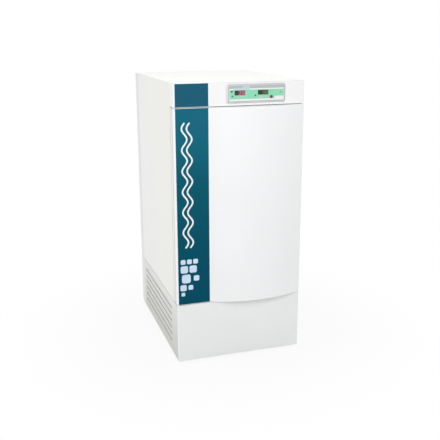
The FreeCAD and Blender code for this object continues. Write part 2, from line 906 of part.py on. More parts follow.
def make_mains():
    def inlet_block(spare, depth):
        return box(
            ("inlet_x - inlet_width / 2 - %s" % spare, "inlet_x + inlet_width / 2 + %s" % spare),
            depth,
            ("inlet_level - inlet_height / 2 - %s" % spare, "inlet_level + inlet_height / 2 + %s" % spare),
        )
    body = inlet_block("inlet_wall", ("rear_inner - inlet_depth", "rear_face"))
    flange = inlet_block("2 * inlet_wall", ("rear_face", "rear_face + inlet_flange"))
    socket = inlet_block("0", ("rear_inner - inlet_depth + inlet_wall", "rear_y"))
    blades = []
    for x, z in ((-1, "0"), (0, "blade_spacing / 2"), (1, "0")):
        centre = "inlet_x + %d * blade_spacing" % x
        level = "inlet_level + %s" % z
        blades.append(box(
            ("%s - blade_width / 2" % centre, "%s + blade_width / 2" % centre),
            ("rear_inner - inlet_depth", "rear_inner - inlet_depth + inlet_wall + blade_length"),
            ("%s - blade_width" % level, "%s + blade_width" % level),
        ))
    sub_part("mains_inlet", fuse(cut(fuse(body, flange), socket), *blades))

    centre = ("rear_face + rocker_proud - rocker_height / 2", "inlet_level")
    across = ("rocker_x - rocker_width / 2", "rocker_x + rocker_width / 2")
    face = rod("rocker_height / 2", across, centre, "x")
    low = "rear_face - rocker_height / 2"
    sub_part("mains_switch", common(face, box(
        across,
        (low, "rear_y"),
        ("inlet_level - rocker_height / 2", "inlet_level + rocker_height / 2"),
    )))


# Orbital drive

IDLERS = {
    "front_idler_left": ("-idler_x", "drive_y - idler_y"),
    "front_idler_right": ("idler_x", "drive_y - idler_y"),
    "rear_idler": ("0", "drive_y + idler_y"),
}


def make_drive_base():
    plate = box(
        ("-drive_x", "drive_x"),
        ("drive_y - drive_half_y", "drive_y + drive_half_y"),
        ("chamber_floor", "plate_top"),
    )
    housings = [rod("idler_housing_r", ("plate_top", "idler_top"), spot) for spot in IDLERS.values()]
    bores = [
        rod("idler_shaft_r + running_fit", ("plate_top", "idler_top + overrun"), spot)
        for spot in IDLERS.values()
    ]
    middle = rod("tube_r + seat_gap", ("chamber_floor - overrun", "plate_top + overrun"), ("0", "drive_y"))
    sub_part("drive_base", cut(fuse(plate, *housings), middle, *bores))

    centre = ("0", "drive_y")
    tube = rod("tube_r", ("base_top", "flange_top"), centre)
    flange = rod("tube_flange_r", ("plate_top", "flange_top"), centre)
    bore = rod("tube_bore", ("base_top - overrun", "flange_top + overrun"), centre)
    sub_part("bearing_tube", cut(fuse(tube, flange), bore))
    rings = []
    for low in ("base_top + hinge_margin", "flange_top - bearing_height"):
        ring = rod("tube_bore", (low, "%s + bearing_height" % low), centre)
        hole = rod(
            "shaft_r + running_fit", ("%s - overrun" % low, "%s + bearing_height + overrun" % low), centre
        )
        rings.append(cut(ring, hole))
    sub_part("main_bearings", group(*rings))


def make_cranks():
    centre = ("0", "drive_y")
    shaft = rod("shaft_r", ("pulley_level", "crank_low"), centre)
    disc = rod("crank_r", ("crank_low", "crank_top"), centre)
    pin = rod("crank_pin_r", ("crank_top", "platform_level - seat_gap"), ("orbit", "drive_y"))
    side = box(
        ("-weight_r", "-weight_edge"),
        ("drive_y - weight_r", "drive_y + weight_r"),
        ("crank_low", "crank_top"),
    )
    weight = common(rod("weight_r", ("crank_low", "crank_top"), centre), side)
    sub_part("main_crank", fuse(shaft, disc, pin, weight))

    wheel = rod("main_pulley_r", ("pulley_level", "pulley_top"), centre)
    sub_part("main_pulley", cut(
        wheel, rod("shaft_r", ("pulley_level - overrun", "pulley_top + overrun"), centre)
    ))

    for name, (x, y) in IDLERS.items():
        shaft = rod("idler_shaft_r", ("plate_top + seat_gap", "disc_low"), (x, y))
        disc = rod("idler_disc_r", ("disc_low", "disc_low + idler_disc"), (x, y))
        pin = rod(
            "idler_shaft_r",
            ("disc_low + idler_disc", "platform_level - seat_gap"),
            ("%s + orbit" % x, y),
        )
        sub_part(name, fuse(shaft, disc, pin))


BARS = 5


def make_platform():
    rim_top = "platform_level + platform_rim"
    tray = box(
        ("-platform_x", "platform_x"), ("platform_front", "platform_back"), ("platform_level", rim_top)
    )
    inside_x = ("rack_wall - platform_x", "platform_x - rack_wall")
    inside_y = ("platform_front + rack_wall", "platform_back - rack_wall")
    hollow = box(inside_x, inside_y, ("mat_top", "%s + overrun" % rim_top))
    spots = [("orbit", "drive_y", "crank_pin_r")]
    spots += [("%s + orbit" % x, y, "idler_shaft_r") for x, y in IDLERS.values()]
    bosses = [rod("boss_r", ("boss_low", "platform_level"), (x, y)) for x, y, bore in spots]
    bores = [
        rod("%s + running_fit" % bore, ("boss_low - overrun", "platform_level"), (x, y))
        for x, y, bore in spots
    ]
    sub_part("platform", cut(fuse(cut(tray, hollow), *bosses), *bores))

    rails = []
    for low in (inside_x[0], "%s - rack_wall" % inside_x[1]):
        rails.append(box((low, "%s + rack_wall" % low), inside_y, ("mat_top", "mat_top + rack_height")))
    bars = []
    across = ("%s + rack_wall / 2" % inside_x[0], "%s - rack_wall / 2" % inside_x[1])
    for index in range(BARS):
        start = "platform_front + bar_margin"
        reach = "(platform_back - platform_front - 2 * bar_margin)"
        y = "%s + %s * %d / %d" % (start, reach, index, BARS - 1)
        bars.append(rod("bar_r", across, (y, "mat_top + bar_lift"), "x"))
    sub_part("clamp_rack", fuse(*rails, *bars))


def pulley_loop(name, clear, low, high):
    """The belt's line from above at a distance from both pulleys."""
    main = "(main_pulley_r + %s)" % clear
    motor = "(motor_pulley_r + %s)" % clear
    main_x = "%s * belt_rise" % main
    main_y = "drive_y + %s * belt_lean" % main
    motor_x = "%s * belt_rise" % motor
    motor_y = "motor_y + %s * belt_lean" % motor
    start = ("-(%s)" % main_x, main_y)
    legs = [
        ((main_x, main_y), main, ("0", "drive_y - %s" % main)),
        ((motor_x, motor_y),),
        (("-(%s)" % motor_x, motor_y), motor, ("0", "motor_y + %s" % motor)),
        (start,),
    ]
    return padded(name, start, legs, low, high)


def make_belt():
    outer = pulley_loop("Belt", "belt_clear + belt_thick", "belt_low", "belt_low + belt_width")
    inner = pulley_loop("BeltInside", "belt_clear", "belt_low - overrun", "belt_low + belt_width + overrun")
    sub_part("drive_belt", cut(outer, inner))


def make_motor():
    centre = ("0", "motor_y")
    body = rod("motor_r", ("motor_plate_low - motor_height", "motor_plate_low"), centre)
    half = "motor_plate_side / 2"
    plate = box(
        ("-%s" % half, half),
        ("motor_y - %s" % half, "motor_y + %s" % half),
        ("motor_plate_low", "motor_plate_top"),
    )
    posts = []
    reach = "%s - standoff_inset" % half
    for x in ("-(%s)" % reach, reach):
        for y in ("motor_y - (%s)" % reach, "motor_y + %s" % reach):
            posts.append(rod("standoff_r", ("motor_plate_top", "deck_low"), (x, y)))
    bore = rod(
        "motor_shaft_r + running_fit", ("motor_plate_low - motor_r", "motor_plate_top + overrun"), centre
    )
    sub_part("drive_motor", cut(fuse(body, plate, *posts), bore))
    shaft = rod("motor_shaft_r", ("motor_plate_low - motor_r + seat_gap", "pulley_level"), centre)
    wheel = rod("motor_pulley_r", ("pulley_level", "pulley_top"), centre)
    sub_part("motor_pulley", fuse(shaft, wheel))


# Cooling, heating and air


BLADE_TILT = 24


def make_fan(name, at, axis, angle, shaft_length):
    """A hub with slanted blades about its own Z, then turned to its place."""
    parts = [rod("fan_hub_r", ("0", "fan_depth"), ("0", "0"))]
    parts.append(rod("fan_shaft_r", ("fan_depth", "fan_depth + %s" % shaft_length), ("0", "0")))
    blades = 6
    tilt = FreeCAD.Rotation(FreeCAD.Vector(1, 0, 0), BLADE_TILT)
    half_share = math.cos(math.radians(BLADE_TILT)) / 2
    rise_share = math.sin(math.radians(BLADE_TILT)) / 2
    for index in range(blades):
        blade = box(("0", "fan_r - fan_hub_r / 2"), ("0", "fan_chord"), ("0", "fan_blade"))
        angle_share = 2 * math.pi * index / blades
        cos_share = round(math.cos(angle_share), 9)
        sin_share = round(math.sin(angle_share), 9)
        x = "%s * fan_hub_r / 2 + %s * fan_chord * %s" % (cos_share, sin_share, half_share)
        y = "%s * fan_hub_r / 2 - %s * fan_chord * %s" % (sin_share, cos_share, half_share)
        low = "fan_depth / 2 - fan_blade / 2 - fan_chord * %s" % rise_share
        place(blade, (x, y, low))
        turn = FreeCAD.Rotation(FreeCAD.Vector(0, 0, 1), math.degrees(angle_share)).multiply(tilt)
        blade.Placement = FreeCAD.Placement(blade.Placement.Base, turn)
        parts.append(blade)
    whole = place(fuse(*parts), at, axis, angle)
    sub_part(name, whole)


def fan_motor(name, axis_spot, span, along, stand):
    body = rod("fan_motor_r", span, axis_spot, along)
    front = span[0]
    bore = rod(
        "fan_shaft_r + running_fit", ("%s - overrun" % front, "%s + fan_motor_r / 2" % front), axis_spot, along
    )
    sub_part(name, cut(fuse(body, stand), bore))


def make_condenser():
    x = ("condenser_x", "shroud_x")
    top = "pan_top + condenser_height"
    end = "condenser_y + condenser_length"
    parts = []
    fins = 26
    for index in range(fins):
        y = "condenser_y + %d / %d * (condenser_length - fin_thick)" % (index, fins - 1)
        parts.append(box(x, (y, "%s + fin_thick" % y), ("pan_top", top)))
    rows = 6
    for index in range(rows):
        level = "pan_top + condenser_height * %d / %d" % (2 * index + 1, 2 * rows)
        parts.append(rod("tube_pipe_r", ("condenser_y", end), ("(condenser_x + shroud_x) / 2", level), "y"))
    plate = box(("shroud_x", "shroud_x + shroud_thick"), ("condenser_y", end), ("pan_top", top))
    hole = rod(
        "fan_r + fan_clear",
        ("shroud_x - overrun", "shroud_x + shroud_thick + overrun"),
        ("condenser_mid", "condenser_axis"),
        "x",
    )
    sub_part("condenser", fuse(*parts, cut(plate, hole)))

    spot = ("condenser_mid", "condenser_axis")
    span = ("fan_high + fan_gap", "fan_high + fan_gap + fan_motor_length")
    stand = box(
        (span[0], span[1]),
        ("condenser_mid - fan_motor_r / 2", "condenser_mid + fan_motor_r / 2"),
        ("pan_top", "condenser_axis"),
    )
    fan_motor("condenser_motor", spot, span, "x", stand)
    at = ("fan_low", "condenser_mid", "condenser_axis")
    make_fan("condenser_fan", at, (0, 1, 0), 90, "fan_gap + fan_motor_r / 2 - seat_gap")


def make_compressor():
    pot = doc.addObject("PartDesign::Body", "Compressor")
    sketch = pot.newObject("Sketcher::SketchObject", "Circle")
    level = [plane for plane in pot.Origin.OriginFeatures if plane.Role == "XY_Plane"][0]
    sketch.AttachmentSupport = (level, [""])
    sketch.MapMode = "FlatFace"
    middle = FreeCAD.Vector(value("compressor_x"), value("compressor_y"), 0)
    ring = sketch.addGeometry(Part.Circle(middle, FreeCAD.Vector(0, 0, 1), value("compressor_r")), False)
    for index, (kind, text) in enumerate((("DistanceX", "compressor_x"), ("DistanceY", "compressor_y"))):
        sketch.addConstraint(Sketcher.Constraint(kind, -1, 1, ring, 3, value(text)))
        sketch.setExpression("Constraints[%d]" % index, bound(text))
    sketch.addConstraint(Sketcher.Constraint("Radius", ring, value("compressor_r")))
    sketch.setExpression("Constraints[2]", bound("compressor_r"))
    bind(sketch, "AttachmentOffset.Base.z", "pan_top + compressor_foot")
    pad = pot.newObject("PartDesign::Pad", "Raised")
    pad.Profile = sketch
    bind(pad, "Length", "compressor_height")
    doc.recompute()
    rounded(pot, "compressor_round", lambda edge, middle: len(edge.Vertexes) == 1)
    feet = []
    foot_share = 0.62
    offset = "compressor_r * %s" % foot_share
    for x in ("compressor_x - %s" % offset, "compressor_x + %s" % offset):
        for y in ("compressor_y - %s" % offset, "compressor_y + %s" % offset):
            feet.append(rod(
                "compressor_foot", ("pan_top", "pan_top + compressor_foot + compressor_round"), (x, y)
            ))
    sub_part("compressor", fuse(pot, *feet))


def make_evaporator():
    x = ("-evaporator_x", "evaporator_x")
    y = ("chamber_back - evaporator_depth", "chamber_back")
    top = "evaporator_level + evaporator_height"
    parts = []
    fins = 24
    for index in range(fins):
        low = "%s + %d / %d * (2 * evaporator_x - fin_thick)" % (x[0], index, fins - 1)
        parts.append(box((low, "%s + fin_thick" % low), y, ("evaporator_level", top)))
    rows = 5
    for index in range(rows):
        level = "evaporator_level + evaporator_height * %d / %d" % (2 * index + 1, 2 * rows)
        parts.append(rod("tube_pipe_r", x, ("chamber_back - evaporator_depth / 2", level), "x"))
    sub_part("evaporator", fuse(*parts))


def make_heater():
    half = "heater_x"
    y = "chamber_back - heater_stand"
    parts = []
    rods = 3
    for index in range(rods):
        level = "heater_level + %d * heater_pitch" % index
        parts.append(rod("heater_r", ("-%s" % half, half), (y, level), "x"))
    for x in ("-%s" % half, "%s - sheet_wall" % half):
        parts.append(box(
            (x, "%s + sheet_wall" % x),
            ("%s - 2 * heater_r" % y, "chamber_back"),
            ("heater_level - heater_pitch / 2", "heater_level + (%d - 0.5) * heater_pitch" % rods),
        ))
    sub_part("heater", fuse(*parts))


def make_air_duct():
    x = ("duct_margin - chamber_x", "chamber_x - duct_margin")
    z = ("chamber_floor + duct_margin", "chamber_top - duct_margin")
    outer = box(x, ("duct_y", "chamber_back"), z)
    inner = box(
        ("%s + sheet_wall" % x[0], "%s - sheet_wall" % x[1]),
        ("duct_y + sheet_wall", "chamber_back + overrun"),
        ("%s - overrun" % z[0], "%s + overrun" % z[1]),
    )
    through = ("duct_y - overrun", "duct_y + sheet_wall + overrun")
    slots = []
    rows = 9
    for index in range(rows):
        share = (2 * index + 1) / rows - 1
        half = "(fan_r * %s)" % round(math.sqrt(1 - share ** 2), 6)
        level = "circulation_level + fan_r * %s" % round(share, 6)
        slots.append(box(
            ("-%s" % half, half),
            through,
            ("%s - vent_slot / 2" % level, "%s + vent_slot / 2" % level),
        ))
    return_rows = 6
    for index in range(return_rows):
        low = "platform_level + rack_height + %d * vent_pitch" % index
        slots.append(box(("-vent_x", "vent_x"), through, (low, "%s + vent_slot" % low)))
    sub_part("duct_cover", cut(outer, inner, *slots))

    spot = ("0", "circulation_level")
    span = ("air_fan_y + fan_depth + fan_gap", "air_fan_y + fan_depth + fan_gap + fan_motor_length / 2")
    stand = box(
        ("-fan_motor_r / 2", "fan_motor_r / 2"),
        (span[1], "chamber_back"),
        ("circulation_level - fan_motor_r / 2", "circulation_level + fan_motor_r / 2"),
    )
    fan_motor("circulation_motor", spot, span, "y", stand)
    at = ("0", "air_fan_y", "circulation_level")
    make_fan("circulation_fan", at, (1, 0, 0), -90, "fan_gap + fan_motor_r / 2 - seat_gap")


# Shelf


def make_shelf():
    front = "face_back + shelf_front_gap"
    back = "duct_y - strip_width / 2"
    ends = (front, "%s - strip_width" % back)
    strips = []
    clips = []
    for y in ends:
        for low, high, clip in (
            ("-chamber_x", "strip_thick - chamber_x", ("strip_thick - chamber_x", "strip_width - chamber_x")),
            ("chamber_x - strip_thick", "chamber_x", ("chamber_x - strip_width", "chamber_x - strip_thick")),
        ):
            width = (y, "%s + strip_width" % y)
            strip = box((low, high), width, ("chamber_floor + strip_end", "chamber_top - strip_end"))
            clips.append(box(clip, width, ("shelf_level - clip_height", "shelf_level")))
            strips.append(fuse(strip, clips[-1]))
    sub_part("shelf_supports", group(*strips))

    half = "(chamber_x - strip_thick - duct_margin)"
    wires = []
    level = "shelf_level + shelf_frame"
    for y in ("%s + shelf_frame" % front, "%s - shelf_frame" % back):
        wires.append(rod("shelf_frame", ("-%s" % half, half), (y, level), "x"))
    for x in ("shelf_frame - %s" % half, "%s - shelf_frame" % half):
        wires.append(rod(
            "shelf_frame", ("%s + shelf_frame" % front, "%s - shelf_frame" % back), (x, level), "y"
        ))
    count = 21
    for index in range(count):
        share = round(2 * index / (count - 1) - 1, 6)
        x = "%s * (%s - shelf_margin)" % (share, half)
        wires.append(rod(
            "shelf_wire",
            ("%s + shelf_frame" % front, "%s - shelf_frame" % back),
            (x, "%s + shelf_wire" % level),
            "y",
        ))
    sub_part("wire_shelf", fuse(*wires))


def check_model():
    """Every object has to be computed and every sub-part a valid shape."""
    doc.recompute()
    for thing in doc.Objects:
        if "Invalid" in thing.State or "Error" in thing.State:
            raise RuntimeError("%s (%s) failed: %s" % (thing.Name, thing.Label, thing.State))
    for thing in sub_parts:
        if thing.Shape.isNull() or not thing.Shape.isValid():
            raise RuntimeError("%s has no valid shape" % thing.Label)


def main():
    fill_sheet()
    make_feet()
    make_base_pan()
    make_posts()
    make_deck()
    make_base_front()
    make_louvre_panels()
    make_side_panels()
    make_rear_panel()
    make_head()
    make_front_frame()
    make_chamber()
    make_door()
    make_door_fittings()
    make_hinge_brackets()
    make_bezel()
    make_controls()
    make_mains()
    make_drive_base()
    make_cranks()
    make_platform()
    make_belt()
    make_motor()
    make_condenser()
    make_compressor()
    make_evaporator()
    make_heater()
    make_air_duct()
    make_shelf()
    check_model()
    os.makedirs("parts", exist_ok=True)
    for thing in sub_parts:
        thing.Shape.exportStep("parts/%s.step" % thing.Label)
        print(thing.Label, len(thing.Shape.Solids), round(thing.Shape.Volume))
    print(len(sub_parts), "sub-parts")


main()
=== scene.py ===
import json
import math

import bmesh
import bpy
from mathutils import Matrix, Vector


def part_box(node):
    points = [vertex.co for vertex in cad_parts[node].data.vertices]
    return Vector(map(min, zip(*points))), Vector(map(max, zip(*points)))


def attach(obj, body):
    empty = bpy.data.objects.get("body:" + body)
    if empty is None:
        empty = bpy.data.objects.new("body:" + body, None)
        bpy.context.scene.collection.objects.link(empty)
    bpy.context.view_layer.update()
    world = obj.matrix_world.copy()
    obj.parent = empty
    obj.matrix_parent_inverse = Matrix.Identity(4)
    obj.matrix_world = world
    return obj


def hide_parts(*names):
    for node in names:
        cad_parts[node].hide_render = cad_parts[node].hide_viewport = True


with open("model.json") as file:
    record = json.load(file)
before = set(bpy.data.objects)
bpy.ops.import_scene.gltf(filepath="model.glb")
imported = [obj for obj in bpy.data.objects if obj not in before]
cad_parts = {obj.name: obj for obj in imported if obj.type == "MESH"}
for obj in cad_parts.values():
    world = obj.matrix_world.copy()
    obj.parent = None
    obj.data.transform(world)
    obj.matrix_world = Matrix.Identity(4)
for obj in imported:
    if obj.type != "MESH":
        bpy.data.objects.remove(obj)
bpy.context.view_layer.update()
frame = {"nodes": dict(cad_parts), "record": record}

# Floor-standing incubated shaker cabinet, in metres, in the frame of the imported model.

nodes = frame["nodes"]

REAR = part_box("rear_panel")[1].y
FILM_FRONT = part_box("door_stripe")[0].y
PANEL_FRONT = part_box("membrane_panel")[0].y
WINDOW_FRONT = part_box("display_windows")[0].y

FRONTWARD = (0, -1, 0)
REARWARD = (0, 1, 0)
RIGHTWARD = (1, 0, 0)


# Node trees


class Recipe:
    """The node tree of a new material or world under construction."""

    def __init__(self, block):
        block.use_nodes = True
        self.block = block
        self.tree = block.node_tree
        self.tree.nodes.clear()
        self.place = self.add("TexCoord").outputs["Object"]

    def add(self, kind, inputs=None, **settings):
        node = self.tree.nodes.new("ShaderNode" + kind)
        for name, value in settings.items():
            setattr(node, name, value)
        for key, value in (inputs or {}).items():
            self.feed(node.inputs[key], value)
        return node

    def feed(self, socket, value):
        """Link a socket to another one, or set its value."""
        if isinstance(value, bpy.types.NodeSocket):
            self.tree.links.new(value, socket)
        elif socket.type == "RGBA":
            socket.default_value = (*value, 1)
        else:
            socket.default_value = value

    def noise(self, scale, detail=3.0, stretch=None):
        at = self.place
        if stretch:
            at = self.add("Mapping", {"Vector": at, "Scale": stretch}).outputs[0]
        settings = {"Vector": at, "Scale": scale, "Detail": detail, "Roughness": 0.55}
        return self.add("TexNoise", settings).outputs["Fac"]

    def span(self, value, low, high, start=0.3, end=0.7):
        """Map the range from start to end to the range from low to high."""
        return self.add("MapRange", {
            "Value": value, "From Min": start, "From Max": end, "To Min": low, "To Max": high,
        }).outputs[0]

    def mix(self, share, first, second):
        """Blend two colours."""
        node = self.add("Mix", {0: share}, data_type="RGBA")
        colours = [socket for socket in node.inputs if socket.type == "RGBA"]
        for socket, value in zip(colours, (first, second)):
            self.feed(socket, value)
        return next(socket for socket in node.outputs if socket.type == "RGBA")

    def mottle(self, scale, first, second, detail=3.0):
        """Blend two colours in soft patches."""
        return self.mix(self.span(self.noise(scale, detail), 0, 1), first, second)

    def calc(self, operation, first, second=0.0):
        return self.add("Math", {0: first, 1: second}, operation=operation).outputs[0]

    def axis(self, letter):
        return self.add("SeparateXYZ", {0: self.place}).outputs[letter.upper()]

    def between(self, value, low, high):
        """1 where a value lies between two limits, else 0."""
        over = self.calc("GREATER_THAN", value, low)
        return self.calc("MULTIPLY", over, self.calc("LESS_THAN", value, high))

    def seen(self):
        """1 for rays from the camera, from gloss and through glass, 0 for diffuse light."""
        path = self.add("LightPath").outputs
        eye = self.calc("MAXIMUM", path["Is Camera Ray"], path["Is Glossy Ray"])
        return self.calc("MAXIMUM", eye, path["Is Transmission Ray"])

    def finish(self, shader, output="OutputMaterial"):
        self.add(output, {"Surface": shader})
        return self.block


# Finishes

WORN_WHITE = (0.70, 0.70, 0.68)
STEEL_EDGE = (0.86, 0.86, 0.85)
GLOSS_GRAIN = 7             # patches of gloss are this many times finer than those of colour
WORN_FACING = (0.80, 0.97)  # dot product of softened and true normal, fully worn and not worn
WORN_SCALE = 40.0
WORN_SHARES = (0.25, 0.9)


def shade(colour, factor):
    return tuple(min(1.0, channel * factor) for channel in colour)


def worn_edges(recipe, soft):
    """Share of bare edge, patchy along the edges that the softened normal shows."""
    true = recipe.add("NewGeometry").outputs["Normal"]
    facing = recipe.add("VectorMath", {0: soft, 1: true}, operation="DOT_PRODUCT").outputs["Value"]
    worn = recipe.span(facing, 1.0, 0.0, *WORN_FACING)
    return recipe.calc("MULTIPLY", worn, recipe.span(recipe.noise(WORN_SCALE), *WORN_SHARES))


def surface(name, colour, rough, vary=0.03, vary_scale=3.0, rough_vary=0.05, bump=0.0,
            bump_scale=900.0, stretch=None, edge=None, edge_width=0.0012, tint=None, **sockets):
    """A solid finish: uneven colour and gloss, surface texture, and softened, slightly worn edges."""
    recipe = Recipe(bpy.data.materials.new(name))
    base = recipe.mottle(vary_scale, shade(colour, 1 - vary), shade(colour, 1 + vary), 4.0)
    if tint:
        base = tint(recipe, base)
    smears = recipe.noise(vary_scale * GLOSS_GRAIN, stretch=stretch)
    gloss = recipe.span(smears, rough - rough_vary, rough + rough_vary)
    soft = recipe.add("Bevel", {"Radius": edge_width}, samples=4).outputs[0]
    if edge:
        base = recipe.mix(worn_edges(recipe, soft), base, edge)
    normal = soft
    if bump:
        fine = recipe.noise(bump_scale, 2.0, stretch)
        normal = recipe.add("Bump", {"Height": fine, "Normal": soft, "Distance": bump}).outputs[0]
    settings = {"Base Color": base, "Roughness": gloss, "Normal": normal, **sockets}
    return recipe.finish(recipe.add("BsdfPrincipled", settings).outputs[0])


def powder_coat(name, colour, rough, vary=0.012, bump=0.00006, bump_scale=700.0, **options):
    """Painted sheet with a fine orange peel and rubbed edges."""
    return surface("powder_coat_" + name, colour, rough, vary, bump=bump, bump_scale=bump_scale,
                   edge=WORN_WHITE, **options)


def ink(name, colour, rough, vary, vary_scale, **sockets):
    """A printed or stuck-on layer, too thin for a wide soft edge."""
    return surface(name, colour, rough, vary, vary_scale, edge_width=0.0002, **sockets)


def glowing(name, colour, dark, strength):
    """A lit display segment: an even glow over a dark body."""
    recipe = Recipe(bpy.data.materials.new(name))
    dimmed = 0.9
    return recipe.finish(recipe.add("BsdfPrincipled", {
        "Base Color": recipe.mottle(500.0, shade(dark, dimmed), dark),
        "Roughness": 0.35,
        "Emission Color": recipe.mottle(300.0, shade(colour, dimmed), colour),
        "Emission Strength": strength,
    }).outputs[0])


# Tints

# Painted light on the film: shade towards its foot, and a painted reflection in the step from 1.0 to
# 1.2 m.
FILM_LIGHT_TONES = (
    (0.42, (0.001, 0.067, 0.116)),
    (0.70, (0.002, 0.079, 0.126)),
    (1.00, (0.004, 0.098, 0.145)),
    (1.20, (0.009, 0.135, 0.200)),
    (1.36, (0.012, 0.140, 0.212)),
    (1.40, (0.015, 0.108, 0.177)),
)
# Painted shade: the louvre panels are darker than the white shell, and darker still towards the
# floor, where less light falls.
LOUVRE_SHADE_TONES = (
    (0.02, (0.615, 0.610, 0.575)),
    (0.18, (0.685, 0.685, 0.660)),
    (0.27, (0.745, 0.745, 0.725)),
    (0.33, (0.810, 0.810, 0.790)),
)


def tones_by_height(recipe, tones, base):
    """Run from tone to tone between heights above the floor, with a little of the base left in."""
    base_share = 0.10
    height = recipe.axis("z")
    tone = tones[0][1]
    for (low, _), (high, colour) in zip(tones, tones[1:]):
        tone = recipe.mix(recipe.span(height, 0, 1, low, high), tone, colour)
    return recipe.mix(base_share, tone, base)


def film_painted_light(recipe, base):
    """Painted light on the film: painted shade at its foot runs to a lighter tone near its top, and
    the quick step from 1.0 to 1.2 m is a painted reflection.
    """
    return tones_by_height(recipe, FILM_LIGHT_TONES, base)


def louvre_painted_shade(recipe, base):
    """Painted shade: the paint is darker towards the floor, where less light falls, and the blades
    inside the sheet are painted dark for the shade in the slots.
    """
    sheet = 0.0014
    shaded_blade_tone = (0.37, 0.37, 0.35)
    tone = tones_by_height(recipe, LOUVRE_SHADE_TONES, base)
    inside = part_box("louvre_panel_right")[1].x - sheet
    out = recipe.calc("ABSOLUTE", recipe.axis("x"))
    return recipe.mix(recipe.calc("LESS_THAN", out, inside), tone, shaded_blade_tone)


def panel_print(recipe, base):
    """A mint field inside white margins, which are wider along the foot and the top."""
    left, right, foot, top = 0.0025, 0.0010, 0.0090, 0.0062
    low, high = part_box("membrane_panel")
    across = recipe.between(recipe.axis("x"), low.x + left, high.x - right)
    up = recipe.between(recipe.axis("z"), low.z + foot, high.z - top)
    grain = recipe.span(recipe.noise(60.0), 0.0, 0.25)
    mint = recipe.mix(grain, (0.262, 0.685, 0.452), (0.292, 0.720, 0.490))
    return recipe.mix(recipe.calc("MULTIPLY", across, up), base, mint)


def bezel_painted_light(recipe, base):
    """Painted highlight: the drawn-in rim at the sides and the foot of the bezel is painted paler
    than its flat face, where light falls on it; the top of the rim keeps the face's darker tone.
    """
    rim = 0.0075
    painted_light_rim = (0.74, 0.74, 0.755)
    low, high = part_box("control_bezel")
    across = recipe.between(recipe.axis("x"), low.x + rim, high.x - rim)
    up = recipe.calc("GREATER_THAN", recipe.axis("z"), low.z + rim)
    return recipe.mix(recipe.calc("MULTIPLY", across, up), painted_light_rim, base)


def side_tone(recipe, base):
    """The side sheets turn a little creamy towards the front edge and the top."""
    reach = 0.7
    foot, foot_share = 0.6, 0.45
    cream = (0.885, 0.862, 0.808)
    low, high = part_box("side_panel_left")
    near = recipe.span(recipe.axis("y"), 1, 0, low.y, low.y + reach)
    above = recipe.span(recipe.axis("z"), foot_share, 1, foot, high.z)
    return recipe.mix(recipe.calc("MULTIPLY", near, above), base, cream)


def groove_trim(recipe, base):
    """A grey strip covers the foam at the bottom of the finger groove."""
    trim = 0.003
    grey = (0.60, 0.60, 0.59)
    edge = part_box("door_core")[0].x + trim
    return recipe.mix(recipe.calc("LESS_THAN", recipe.axis("x"), edge), base, grey)


# Materials

